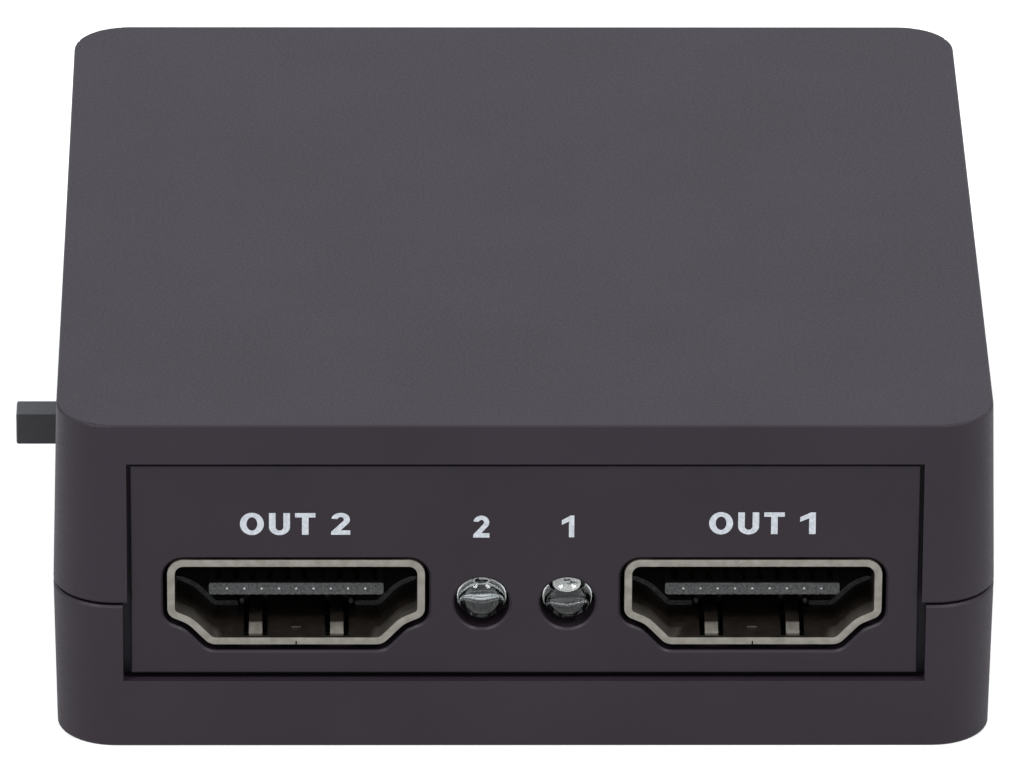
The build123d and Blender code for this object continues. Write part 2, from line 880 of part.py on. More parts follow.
def circuit_board():
    y = case_depth / 2 - frame_back - board_end_gap
    tab_y = case_depth / 2 - board_tip
    tab_half = opening_half - board_side_gap
    z = (board_bottom, board_top)
    board = block((-board_half, board_half), (-y, y), z)
    board += block((-tab_half, tab_half), (-tab_y, tab_y), z)
    board -= [post(x, y, screw_radius + screw_clearance, 0, board_top + overrun) for x, y in corners()]
    lift = Pos(0, 0, board_top)
    for x in (-socket_offset, socket_offset):
        board -= [at_front(x, socket_mouth) * lift * tab for tab in socket_tabs(pin_slip)]
    board -= [at_rear(input_x, socket_mouth) * lift * tab for tab in socket_tabs(pin_slip)]
    for side in (-1, 1):
        place = at_front(side * lamp_pitch / 2, panel_face - lamp_proud)
        board -= [place * lift * hole for hole in lamp_holes()]
    board -= [at_rear(jack_x, panel_face) * lift * hole for hole in jack_holes()]
    end = switch_back + switch_pin_run
    drill = (board_bottom - overrun, board_top + overrun)
    for y in switch_pin_places():
        board -= block((end - switch_pin_sheet - pin_slip, end + pin_slip),
                       centred(y, switch_pin_width + 2 * pin_slip), drill)
    for y in switch_tab_places():
        board -= block(centred((switch_face + switch_back) / 2, switch_tab + 2 * pin_slip),
                       centred(y, switch_sheet + 2 * pin_slip), drill)
    return board


def save(name, pieces):
    solids = [solid for piece in pieces for solid in piece.solids()]
    node = Compound(solids)
    node.label = name
    export_step(node, os.path.join("parts", name + ".step"))


def save_pair(body_name, part, detail_name, places):
    # A body and its leads, caps or lid, at each of its places.
    body, details = part
    details = details if isinstance(details, list) else [details]
    save(body_name, [place * body for place in places])
    save(detail_name, [place * detail for place in places for detail in details])


def save_case():
    save("upper_shell", [upper_shell()])
    save("lower_shell", [lower_shell()])
    save("front_panel", [front_panel()])
    save("rear_panel", [rear_panel()])
    save("case_screws", case_screws())
    save("circuit_board", [circuit_board()])


def save_connectors():
    lift = Pos(0, 0, board_top)
    save_socket("output_1", at_front(socket_offset, socket_mouth) * lift)
    save_socket("output_2", at_front(-socket_offset, socket_mouth) * lift)
    save_socket("input", at_rear(input_x, socket_mouth) * lift)
    for name, side in (("lamp_1", 1), ("lamp_2", -1)):
        place = at_front(side * lamp_pitch / 2, panel_face - lamp_proud) * lift
        save(name + "_lens", [place * lamp_lens()])
        save(name + "_leads", [place * lead for lead in lamp_leads()])
    place = at_rear(jack_x, panel_face) * lift
    save("power_jack_housing", [place * jack_housing()])
    save("power_jack_pin", [place * jack_pin()])
    save("power_jack_spring", [place * jack_spring()])


def save_switch():
    save("switch_frame", [switch_frame()])
    save("switch_base", [switch_base()])
    save("switch_terminals", switch_terminals())
    save("switch_knob", [switch_knob()])
    save("switch_wiper", [switch_wiper()])


def save_board_parts():
    save_pair("splitter_chip", splitter_chip(), "splitter_chip_leads", [on_board(0, 0)])
    helper = two_row_chip(helper_width, helper_length, helper_height, helper_pin_count, helper_pin_pitch,
                          chip_pin_width)
    save_pair("controller_chip", helper, "controller_chip_leads", [on_board(-helper_x, 0, 90)])
    memory = two_row_chip(memory_width, memory_length, memory_height, memory_pin_count, memory_pin_pitch,
                          memory_pin_width)
    save_pair("memory_chip", memory, "memory_chip_leads", [on_board(memory_x, 0, 90)])
    main = regulator(regulator_width, regulator_length, regulator_height, regulator_pin_count,
                     regulator_pin_pitch, regulator_pin_width, regulator_tab_width)
    save_pair("main_regulator", main, "main_regulator_leads", [on_board(jack_x, main_y)])
    core = regulator(core_width, core_length, core_height, regulator_pin_count, core_pin_pitch,
                     core_pin_width, core_pin_width)
    save_pair("core_regulator", core, "core_regulator_leads", [on_board(fuse_x, core_y)])
    save_pair("crystal_base", crystal(), "crystal_lid", [on_board(memory_x, crystal_y, 90)])
    save_pair("capacitor_bases", can_capacitor(), "capacitor_cans", [on_board(can_x, can_y)])


def save_small_parts():
    small = end_capped(small_length, small_width, small_height, small_end)
    save_pair("ceramic_capacitors", small, "capacitor_ends", small_row(row_x, row_y))
    save_pair("resistors", small, "resistor_ends", small_row(0, -row_y))
    surge = block(centred(0, surge_length), centred(0, surge_width), (0, surge_height))
    save("surge_arrays", [place * surge for place in surge_places()])
    bead = block(centred(0, bead_length), centred(0, bead_width), (0, bead_height))
    save("ferrite_bead", [on_board(fuse_x, jack_back) * bead])
    fuse = block(centred(0, fuse_length), centred(0, fuse_width), (0, fuse_height))
    save("fuse", [on_board(fuse_x, can_y) * fuse])


os.makedirs("parts", exist_ok=True)
save_case()
save_connectors()
save_switch()
save_board_parts()
save_small_parts()
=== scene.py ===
import json
import math

import bmesh
import bpy
from mathutils import Matrix, Vector


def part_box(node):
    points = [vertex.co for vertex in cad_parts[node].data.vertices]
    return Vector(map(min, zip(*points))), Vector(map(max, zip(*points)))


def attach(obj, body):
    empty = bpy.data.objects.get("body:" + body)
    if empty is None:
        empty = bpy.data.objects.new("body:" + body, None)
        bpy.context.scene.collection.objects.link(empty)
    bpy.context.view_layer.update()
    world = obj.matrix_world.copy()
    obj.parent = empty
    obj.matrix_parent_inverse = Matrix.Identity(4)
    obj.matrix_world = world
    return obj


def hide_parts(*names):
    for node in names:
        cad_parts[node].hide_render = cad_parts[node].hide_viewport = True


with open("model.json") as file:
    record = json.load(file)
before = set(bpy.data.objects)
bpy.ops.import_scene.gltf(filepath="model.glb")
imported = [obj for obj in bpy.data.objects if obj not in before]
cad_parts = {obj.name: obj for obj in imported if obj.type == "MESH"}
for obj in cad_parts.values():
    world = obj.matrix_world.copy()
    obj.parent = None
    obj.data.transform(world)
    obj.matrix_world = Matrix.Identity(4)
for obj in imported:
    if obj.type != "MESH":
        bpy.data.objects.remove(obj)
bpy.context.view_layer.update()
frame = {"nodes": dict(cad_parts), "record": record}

# A two-way video splitter box: the looks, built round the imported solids.
# Everything is in metres, with X to the right of the front, Y to the back and Z up.

mm = 0.001
mergeDistance = 0.001 * mm
print("frame: %d nodes" % len(frame["nodes"]))


def linear(hexColour):
    # sRGB hex to the linear colour that a shader socket takes
    channels = [int(hexColour[place:place + 2], 16) / 255 for place in (1, 3, 5)]
    return [c / 12.92 if c <= 0.04045 else ((c + 0.055) / 1.055) ** 2.4 for c in channels] + [1.0]


def addNode(tree, kind, values=None, links=None, **settings):
    node = tree.nodes.new(kind)
    for name, value in settings.items():
        setattr(node, name, value)
    for key, value in (values or {}).items():
        node.inputs[key].default_value = value
    for key, source in (links or {}).items():
        tree.links.new(source, node.inputs[key])
    return node


# What all finishes share: the detail of the noises, the stretch of a noise over which one shade or
# roughness goes over into the other, the strength of the relief, and the millimetres over which the
# painted-light colours on the ends come in
pattern = {"patchDetail": 3.0, "grainDetail": 1.5, "cloudDetail": 2.0, "patchSpread": (0.35, 0.65),
           "grainSpread": (0.3, 0.7), "relief": 0.5, "paintedLitFade": 0.1}

# Finishes, by the record's material slot. Sizes are in millimetres: patch is the width of the broad
# shade changes, grain the width of the fine relief, and depth how deep that relief is. A real grain
# that is too fine to show is drawn as coarse as it needs to show. "paintedLitColour" and
# "paintedLitShade" are painted light: lighter colours painted on faces that look along the sockets,
# where light falls in at their mouths. "turn" says how squarely the faces must look, and "from" how
# far in front of or behind the middle of the case they start. The rest of the piece keeps its other
# colours.
looks = {
    # ABS from a spark-eroded mould: a fine even grain turns the sheen into a soft grey haze
    "case_plastic": {"name": "sparkTexturedAbs", "colour": "#2C232C", "shade": "#282028", "patch": 9.0,
                     "grain": 0.16, "depth": 0.006, "rough": (0.46, 0.58), "values": {"IOR": 1.36}},
    # ABS from a finer mould: smoother than the case and a touch darker, so it reads as its own piece
    "panel_plastic": {"name": "satinAbs", "colour": "#271F27", "shade": "#241C24", "patch": 6.0,
                      "grain": 0.16, "depth": 0.008, "rough": (0.42, 0.52), "values": {"IOR": 1.36}},
    # Nickel on drawn steel, with painted light and shade: a warm pale grey painted on the trimmed rim
    # and the faces that look out of the mouth, where light falls, and painted-shade smoke brown inside
    "socket_steel": {"name": "nickelPlatedSteel", "colour": "#39312B", "shade": "#292420", "patch": 0.6,
                     "grain": 0.12, "depth": 0.006, "rough": (0.34, 0.50), "values": {"Metallic": 0.55},
                     "paintedLitColour": "#959088", "paintedLitShade": "#837E76", "turn": (0.12, 0.32), "from": 27.4},
    # Glass-filled polymer: dull near-black, with a mottled lighter grey painted as a highlight on the
    # ends of its walls that look out of the mouth, where light falls
    "moulding_plastic": {"name": "glassFilledPolymer", "colour": "#171616", "shade": "#121111",
                         "patch": 0.16, "grain": 0.09, "depth": 0.014, "rough": (0.48, 0.66),
                         "values": {"IOR": 1.5}, "paintedLitColour": "#636262", "paintedLitShade": "#393939",
                         "turn": (0.45, 0.85), "from": 20.0},
    # Gold flash over copper alloy: a soft yellow glint on each contact strip
    "contact_metal": {"name": "goldFlashedAlloy", "colour": "#B8A27A", "shade": "#8E7A58", "patch": 0.6,
                      "grain": 0.07, "depth": 0.002, "rough": (0.20, 0.32), "values": {"Metallic": 1.0}},
    # Tin over copper alloy: bright grey with a slightly frosted skin
    "lead_metal": {"name": "tinnedAlloy", "colour": "#C6C6C4", "shade": "#A9A9A8", "patch": 0.5,
                   "grain": 0.08, "depth": 0.003, "rough": (0.18, 0.32), "values": {"Metallic": 1.0}},
    # Zinc plate passivated black: a dark metal whose edges stay a little brighter
    "screw_steel": {"name": "blackZincSteel", "colour": "#3A3A3C", "shade": "#29292B", "patch": 0.8,
                    "grain": 0.10, "depth": 0.004, "rough": (0.34, 0.50), "values": {"Metallic": 1.0}},
    # Glass and epoxy laminate under dark solder mask: glossy, with the weave just showing through
    "board_laminate": {"name": "maskedLaminate", "colour": "#16261D", "shade": "#111E17", "patch": 0.9,
                       "grain": 0.45, "depth": 0.006, "rough": (0.24, 0.34), "values": {"IOR": 1.55}},
    # Transfer-moulded epoxy: charcoal with a fine dry grain
    "chip_plastic": {"name": "mouldedEpoxy", "colour": "#2A2A2C", "shade": "#232325", "patch": 1.0,
                     "grain": 0.08, "depth": 0.006, "rough": (0.52, 0.66), "values": {"IOR": 1.55}},
    # Tin-plated strip, folded: cooler and flatter than the nickel
    "switch_steel": {"name": "tinPlatedStrip", "colour": "#BDBDBB", "shade": "#A3A3A2", "patch": 1.0,
                     "grain": 0.10, "depth": 0.004, "rough": (0.28, 0.44), "values": {"Metallic": 1.0}},
    # Paper and phenolic laminate: brown with a short fibre mottle
    "switch_laminate": {"name": "phenolicLaminate", "colour": "#7A4A28", "shade": "#5E371D",
                        "patch": 0.6, "grain": 0.12, "depth": 0.008, "rough": (0.46, 0.60),
                        "values": {"IOR": 1.54}},
    # Black ABS knob, moulded smooth: a slightly clearer edge glint than the case
    "knob_plastic": {"name": "smoothAbs", "colour": "#39363B", "shade": "#343136", "patch": 1.5,
                     "grain": 0.14, "depth": 0.008, "rough": (0.38, 0.48), "values": {"IOR": 1.48}},
    # Bare phosphor bronze spring strip: reddish gold with rolling marks
    "spring_metal": {"name": "rolledPhosphorBronze", "colour": "#C08A55", "shade": "#A8743F",
                     "patch": 0.8, "grain": 0.06, "depth": 0.002, "rough": (0.22, 0.36),
                     "values": {"Metallic": 1.0}},
    # Glass-filled nylon housing: near black and slightly waxy
    "jack_plastic": {"name": "glassFilledNylon", "colour": "#2B2B2D", "shade": "#242426", "patch": 0.9,
                     "grain": 0.11, "depth": 0.010, "rough": (0.44, 0.58), "values": {"IOR": 1.53}},
    # Deep-drawn aluminium: clean bright grey with fine lines from the die
    "can_aluminium": {"name": "drawnAluminium", "colour": "#D0D1D3", "shade": "#BEBFC1", "patch": 1.0,
                      "grain": 0.07, "depth": 0.003, "rough": (0.22, 0.34), "values": {"Metallic": 1.0}},
    # Sintered barium titanate: matt tan with a chalky grain
    "ceramic_body": {"name": "sinteredTitanate", "colour": "#B79468", "shade": "#A37F55", "patch": 0.3,
                     "grain": 0.08, "depth": 0.006, "rough": (0.55, 0.70), "values": {"IOR": 1.6}},
    # Fired alumina base: pale brown, matt
    "crystal_ceramic": {"name": "firedAlumina", "colour": "#8C7A66", "shade": "#7C6B58", "patch": 0.6,
                        "grain": 0.10, "depth": 0.006, "rough": (0.50, 0.66), "values": {"IOR": 1.7}},
    # Glazed resistor and ferrite bodies: black, faintly glossy
    "resistor_body": {"name": "glazedCermet", "colour": "#26262A", "shade": "#1F1F22", "patch": 0.4,
                      "grain": 0.08, "depth": 0.004, "rough": (0.30, 0.42), "values": {"IOR": 1.55}},
    # Polymer fuse under green lacquer: satin, with a slightly uneven coat
    "fuse_body": {"name": "lacqueredPolymer", "colour": "#1F6A4A", "shade": "#185639", "patch": 0.7,
                  "grain": 0.20, "depth": 0.010, "rough": (0.34, 0.46), "values": {"IOR": 1.5}},
}

# Pad-printing ink: flat pale blue-white whose coat is a little uneven
inkLook = {"name": "padPrintedInk", "colour": "#DCDFE5", "shade": "#C3C7CF", "patch": 0.22,
           "grain": 0.10, "depth": 0.004, "rough": (0.45, 0.6), "values": {"IOR": 1.5}}

# A painted reflection: a white, half mirror-like ring by each lamp's flange, so that it glitters with
# the light that the dome lets in, in place of the bright line that the lens reflects inside itself
paintedReflectionLook = {"name": "paintedReflectionWhite", "colour": "#FAFCFC", "shade": "#E8ECEC", "patch": 0.3,
             "grain": 0.08, "depth": 0.003, "rough": (0.20, 0.34), "values": {"Metallic": 0.75}}


def newMaterial(name):
    material = bpy.data.materials.new(name)
    material.use_nodes = True
    material.node_tree.nodes.clear()
    return material, material.node_tree


def makeFinish(look):
    material, tree = newMaterial(look["name"])
    place = addNode(tree, "ShaderNodeTexCoord")
    patches, grain = (
        addNode(tree, "ShaderNodeTexNoise",
                {"Scale": 1 / (look[key] * mm), "Detail": pattern[key + "Detail"]},
                {"Vector": place.outputs["Object"]}).outputs[0] for key in ("patch", "grain"))
    low, high = pattern["patchSpread"]
    spread = addNode(tree, "ShaderNodeMapRange", {"From Min": low, "From Max": high}, {"Value": patches})
    tint = addNode(tree, "ShaderNodeMix", {6: linear(look["shade"]), 7: linear(look["colour"])},
                   {0: spread.outputs[0]}, data_type="RGBA").outputs[2]
    # Painted light: lighter colours painted on faces that look along the sockets near their mouths
    if "paintedLitColour" in look:
        ends = addNode(tree, "ShaderNodeMix", {6: linear(look["paintedLitShade"]), 7: linear(look["paintedLitColour"])},
                       {0: spread.outputs[0]}, data_type="RGBA").outputs[2]
        reach = (look["from"] * mm, (look["from"] + pattern["paintedLitFade"]) * mm)
        shares = []
        for source, (start, end) in (("Normal", look["turn"]), ("Object", reach)):
            parts = addNode(tree, "ShaderNodeSeparateXYZ", links={0: place.outputs[source]})
            along = addNode(tree, "ShaderNodeMath", links={0: parts.outputs["Y"]}, operation="ABSOLUTE")
            shares.append(addNode(tree, "ShaderNodeMapRange", {"From Min": start, "From Max": end},
                                  {"Value": along.outputs[0]}).outputs[0])
        paintedLitShare = addNode(tree, "ShaderNodeMath", links={0: shares[0], 1: shares[1]}, operation="MULTIPLY")
        tint = addNode(tree, "ShaderNodeMix", links={0: paintedLitShare.outputs[0], 6: tint, 7: ends},
                       data_type="RGBA").outputs[2]
    smooth, dull = look["rough"]
    low, high = pattern["grainSpread"]
    sheen = addNode(tree, "ShaderNodeMapRange",
                    {"From Min": low, "From Max": high, "To Min": smooth, "To Max": dull},
                    {"Value": grain})
    relief = addNode(tree, "ShaderNodeBump",
                     {"Strength": pattern["relief"], "Distance": look["depth"] * mm}, {"Height": grain})
    shader = addNode(tree, "ShaderNodeBsdfPrincipled", look["values"],
                     {"Base Color": tint, "Roughness": sheen.outputs[0], "Normal": relief.outputs[0]})
    addNode(tree, "ShaderNodeOutputMaterial", links={"Surface": shader.outputs[0]})
    return material


# Clear cast epoxy: water-clear, with a very faint cloud and a polished skin
epoxy = {"colour": "#FFFFFF", "shade": "#F4F6F6", "patch": 0.8, "rough": (0.01, 0.03), "index": 1.53}


def makeEpoxy():
    material, tree = newMaterial("clearCastEpoxy")
    place = addNode(tree, "ShaderNodeTexCoord").outputs["Object"]
    cloud = addNode(tree, "ShaderNodeTexNoise",
                    {"Scale": 1 / (epoxy["patch"] * mm), "Detail": pattern["cloudDetail"]},
                    {"Vector": place}).outputs[0]
    tint = addNode(tree, "ShaderNodeMix", {6: linear(epoxy["shade"]), 7: linear(epoxy["colour"])},
                   {0: cloud}, data_type="RGBA")
    smooth, dull = epoxy["rough"]
    low, high = pattern["grainSpread"]
    sheen = addNode(tree, "ShaderNodeMapRange",
                    {"From Min": low, "From Max": high, "To Min": smooth, "To Max": dull},
                    {"Value": cloud})
    shader = addNode(tree, "ShaderNodeBsdfPrincipled",
                     {"Transmission Weight": 1.0, "IOR": epoxy["index"]},
                     {"Base Color": tint.outputs[2], "Roughness": sheen.outputs[0]})
    addNode(tree, "ShaderNodeOutputMaterial", links={"Surface": shader.outputs[0]})
    return material


finishes = {slot: makeFinish(look) for slot, look in looks.items()}
finishes["lamp_lens"] = makeEpoxy()
finishes["paintedReflection"] = makeFinish(paintedReflectionLook)
finishes["ink"] = makeFinish(inkLook)
slotOf = {part["node"]: part["material_slot"] for part in frame["record"]["subparts"]}
for nodeName, node in frame["nodes"].items():
    for place in node.material_slots:
        place.material = finishes[slotOf[nodeName]]
print("finishes: %d" % len(finishes))


# Making and placing pieces

def newPiece(name, mesh, finish, body="case"):
    mesh.materials.clear()
    mesh.materials.append(finishes[finish])
    piece = bpy.data.objects.new(name, mesh)
    bpy.context.scene.collection.objects.link(piece)
    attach(piece, body)
    return piece


def plainMesh(thing, name):
    # The mesh that an object's modifiers or curve give, with nothing live left on it
    depsgraph = bpy.context.evaluated_depsgraph_get()
    mesh = bpy.data.meshes.new_from_object(thing.evaluated_get(depsgraph))
    mesh.name = name
    bpy.data.objects.remove(thing)
    return mesh


def sketch(name, data):
    thing = bpy.data.objects.new(name, data)
    bpy.context.scene.collection.objects.link(thing)
    return thing


# Edges stay sharp past these angles, in degrees
smoothUpTo = {"moulded": 40, "stamped": 30}


def shadeSmooth(mesh, degrees):
    mesh.polygons.foreach_set("use_smooth", [True] * len(mesh.polygons))
    mesh.set_sharp_from_angle(angle=math.radians(degrees))


def finishMesh(shape, name, edge="moulded"):
    # A closed mesh from a bmesh, with its faces outwards
    bmesh.ops.recalc_face_normals(shape, faces=shape.faces)
    mesh = bpy.data.meshes.new(name)
    shape.to_mesh(mesh)
    shape.free()
    shadeSmooth(mesh, smoothUpTo[edge])
    return mesh


def addTurned(shape, profile, centre, segments=64, oval=1.0):
    # A solid turned about a line along Y; profile has (distance along Y, radius) pairs, and oval is the
    # share of each radius that is left upwards
    rings = []
    for along, radius in profile:
        steps = range(segments) if radius else range(1)
        angles = [2 * math.pi * step / segments for step in steps]
        places = [Vector((radius * math.cos(angle), along, radius * math.sin(angle) * oval))
                  for angle in angles]
        rings.append([shape.verts.new(centre + place) for place in places])
    for first, second in zip(rings, rings[1:]):
        for step in range(segments):
            corners = [first[step % len(first)], first[(step + 1) % len(first)],
                       second[(step + 1) % len(second)], second[step % len(second)]]
            shape.faces.new(list(dict.fromkeys(corners)))


def rectangle(left, right, front, back):
    return [(left, front), (right, front), (right, back), (left, back)]


def addPlate(shape, outline, centre, thickness):
    # A flat stamping that lies level, from (x, y) points
    layers = []
    for z in (-thickness / 2, thickness / 2):
        layers.append([shape.verts.new(centre + Vector((x, y, z))) for x, y in outline])
    for layer in layers:
        shape.faces.new(layer)
    count = len(outline)
    for step in range(count):
        after = (step + 1) % count
        shape.faces.new([layers[0][step], layers[0][after], layers[1][after], layers[1][step]])


def addTube(shape, points, radius, sides=8):
    # A round wire through points, closed at both ends
    sideways = Vector((0, 1, 0.3))  # a direction that the wire never takes
    rings = []
    for place, point in enumerate(points):
        ahead = (points[min(place + 1, len(points) - 1)] - points[max(place - 1, 0)]).normalized()
        across = ahead.cross(sideways).normalized()
        upright = across.cross(ahead)
        angles = [2 * math.pi * step / sides for step in range(sides)]
        arms = [across * math.cos(angle) + upright * math.sin(angle) for angle in angles]
        rings.append([shape.verts.new(point + arm * radius) for arm in arms])
    for first, second in zip(rings, rings[1:]):
        for step in range(sides):
            after = (step + 1) % sides
            shape.faces.new([first[step], first[after], second[after], second[step]])
    shape.faces.new(rings[0])
    shape.faces.new(rings[-1])


# Edges as a press or a mould leaves them: a copy of a solid, with every corner broken. Triangles that
# lie flat together within "flat" degrees become one face, and corners past "corner" degrees are broken.

broken = {"merge": 0.0005 * mm, "flat": 0.5, "corner": 35}


def softened(name, nodeName, width, segments=2):
    shape = bmesh.new()
    shape.from_mesh(frame["nodes"][nodeName].data)
    bmesh.ops.remove_doubles(shape, verts=shape.verts, dist=broken["merge"])
    bmesh.ops.dissolve_limit(shape, angle_limit=math.radians(broken["flat"]), verts=shape.verts,
                             edges=shape.edges)
    mesh = bpy.data.meshes.new(name)
    shape.to_mesh(mesh)
    shape.free()
    thing = sketch(name, mesh)
    bevel = thing.modifiers.new("brokenEdges", "BEVEL")
    bevel.width = width
    bevel.segments = segments
    bevel.limit_method = "ANGLE"
    bevel.angle_limit = math.radians(broken["corner"])
    mesh = plainMesh(thing, name)
    shadeSmooth(mesh, smoothUpTo["moulded"])
    piece = newPiece(name, mesh, slotOf[nodeName])
    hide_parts(nodeName)
    return piece


# Rows of small rounded noses, set out by Geometry Nodes. A nose is one unit across before it is sized.

noseShape = {"Segments": 12, "Rings": 8, "Radius": 0.5}


def noseRowTree():
    tree = bpy.data.node_groups.new("noseRow", "GeometryNodeTree")
    tree.interface.new_socket("Geometry", in_out="OUTPUT", socket_type="NodeSocketGeometry")
    for name, kind in (("Count", "Int"), ("Pitch", "Vector"), ("Start", "Vector"), ("Size", "Vector"),
                       ("Material", "Material")):
        tree.interface.new_socket(name, in_out="INPUT", socket_type="NodeSocket" + kind)
    given = addNode(tree, "NodeGroupInput").outputs
    line = addNode(tree, "GeometryNodeMeshLine", links={
        "Count": given["Count"], "Offset": given["Pitch"], "Start Location": given["Start"]})
    nose = addNode(tree, "GeometryNodeMeshUVSphere", noseShape)
    row = addNode(tree, "GeometryNodeInstanceOnPoints", links={
        "Points": line.outputs[0], "Instance": nose.outputs[0], "Scale": given["Size"]})
    real = addNode(tree, "GeometryNodeRealizeInstances", links={0: row.outputs[0]})
    coated = addNode(tree, "GeometryNodeSetMaterial", links={
        "Geometry": real.outputs[0], "Material": given["Material"]})
    addNode(tree, "NodeGroupOutput", links={0: coated.outputs[0]})
    return tree


noseRow = noseRowTree()


def makeNoseRow(name, finish, sizes):
    thing = sketch(name, bpy.data.meshes.new(name))
    nodes = thing.modifiers.new("noseRow", "NODES")
    nodes.node_group = noseRow
    for item in noseRow.interface.items_tree:
        if item.in_out == "INPUT":
            nodes[item.identifier] = finishes[finish] if item.name == "Material" else sizes[item.name]
    mesh = plainMesh(thing, name)
    mesh.polygons.foreach_set("use_smooth", [True] * len(mesh.polygons))
    return newPiece(name, mesh, finish)


# Video sockets: the tongue's end has contact tips in a row with scalloped ribs under it, and the shell's
# seam is locked by a small dovetail in its floor. Sizes are in millimetres.

sockets = {
    "rimEdge": 0.09, "mouldingEdge": 0.05, "shellHeight": 5.41, "rim": 0.43,
    "tips": {"count": 9, "pitch": 1.0, "below": 0.37, "behind": 0.0, "size": (0.16, 0.08, 0.17)},
    "ribs": {"count": 20, "pitch": 0.5, "below": 0.73, "behind": 0.11, "size": (0.36, 0.22, 0.15)},
    "stops": {"count": 2, "pitch": 6.35, "below": 2.44, "behind": 2.72, "size": (0.36, 0.34, 0.44)},
    "lockSetback": 1.38, "lockLength": 0.7, "lockWide": 0.56, "lockNarrow": 0.3, "lockProud": 0.06,
}


def tongueRows(socketName, facing):
    # Contact tips on the tongue's end, scallops under it, and the stops where the skirt ends.
    # Places are below the top contacts and behind the tongue's end.
    low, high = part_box(socketName + "_contacts")
    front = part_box(socketName + "_moulding")[0 if facing < 0 else 1].y
    rows = (("_contactTips", "tips", "lead_metal"), ("_tongueRibs", "ribs", "moulding_plastic"),
            ("_skirtStops", "stops", "moulding_plastic"))
    for ending, key, finish in rows:
        row = sockets[key]
        start = (low.x + high.x) / 2 - (row["count"] - 1) / 2 * row["pitch"] * mm
        makeNoseRow(socketName + ending, finish, {
            "Count": row["count"], "Pitch": (row["pitch"] * mm, 0, 0),
            "Start": (start, front - facing * row["behind"] * mm, high.z - row["below"] * mm),
            "Size": [length * mm for length in row["size"]]})


def seamLock(socketName, facing):
    low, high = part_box(socketName + "_shell")
    mouth = low.y if facing < 0 else high.y
    floor = high.z - (sockets["shellHeight"] - sockets["rim"]) * mm
    start = sockets["lockSetback"] * mm
    end = start + sockets["lockLength"] * mm
    wide, narrow = sockets["lockWide"] * mm / 2, sockets["lockNarrow"] * mm / 2
    outline = [(-wide, start), (wide, start), (narrow, end), (-narrow, end)]
    thickness = 2 * sockets["lockProud"] * mm
    shape = bmesh.new()
    addPlate(shape, [(x, -facing * y) for x, y in outline], Vector(((low.x + high.x) / 2, mouth, floor)),
             thickness)
    newPiece(socketName + "_seamLock", finishMesh(shape, socketName + "_seamLock"), "socket_steel")


for socketName, facing in (("output_1", -1), ("output_2", -1), ("input", 1)):
    softened(socketName + "_rolledShell", socketName + "_shell", sockets["rimEdge"] * mm)
    softened(socketName + "_tongueMoulding", socketName + "_moulding", sockets["mouldingEdge"] * mm, 1)
    tongueRows(socketName, facing)
    seamLock(socketName, facing)
print("sockets: rims softened, tips, ribs and seam locks added")


# Lamps: a cast lens over a stamped lead frame with a reflector cup, a die, a post and a bond wire.
# Distances are in millimetres behind the dome's tip, or sideways from its middle.

lamp = {"radius": 1.45, "flangeRadius": 1.75, "flange": 1.0, "domeSteps": 20,
        "sheet": 0.5, "wireIn": 1.02, "wireOut": 1.52, "wireStart": 3.3, "bend": 7.1, "legEnd": 2.4,
        "anvil": [(-1.52, 3.6), (-1.52, 3.3), (-1.05, 3.1), (0.3, 3.1), (0.3, 3.3), (-0.5, 3.4),
                  (-1.02, 3.6)],
        "post": [(1.52, 3.6), (1.52, 3.2), (1.2, 2.85), (0.75, 2.85), (0.75, 3.1), (0.98, 3.3),
                 (1.02, 3.6)],
        "cupSteps": 40, "bondRadius": 0.03, "bondRise": 0.2, "bondSteps": 10, "rimSteps": 12}

# The two lamps show different insides through their domes. The cup is (depth, radius) from its foot
# round its rim, pressed to an oval by the given share. The die is (half width, front, back), and the
# rim, a white ring by the flange that paints the bright line reflected inside the lens, is (depth,
# radius, thickness).
lampKinds = {
    "lamp_1": {"cup": [(3.15, 0), (3.15, 0.50), (2.22, 0.50), (2.14, 0.40), (2.14, 0)], "oval": 0.75,
               "die": (0.10, 2.09, 2.14), "rim": (4.62, 1.38, 0.055)},
    "lamp_2": {"cup": [(3.15, 0), (3.15, 0.235), (2.24, 0.235), (2.24, 0.185), (2.40, 0.11), (2.40, 0)],
               "oval": 0.5, "die": (0.06, 2.34, 2.40), "rim": (4.36, 1.38, 0.055)},
}


def lampLens(lampName):
    low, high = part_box(lampName + "_lens")
    tip = Vector(((low.x + high.x) / 2, low.y, (low.z + high.z) / 2))
    length = high.y - low.y
    radius, wide, flange = (lamp[key] * mm for key in ("radius", "flangeRadius", "flange"))
    angles = [math.pi / 2 * step / lamp["domeSteps"] for step in range(lamp["domeSteps"] + 1)]
    profile = [(radius * (1 - math.cos(angle)), radius * math.sin(angle)) for angle in angles]
    profile += [(length - flange, radius), (length - flange, wide), (length, wide), (length, 0)]
    shape = bmesh.new()
    addTurned(shape, profile, tip)
    piece = newPiece(lampName + "_castLens", finishMesh(shape, lampName + "_castLens"), "lamp_lens")
    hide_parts(lampName + "_lens")
    return tip


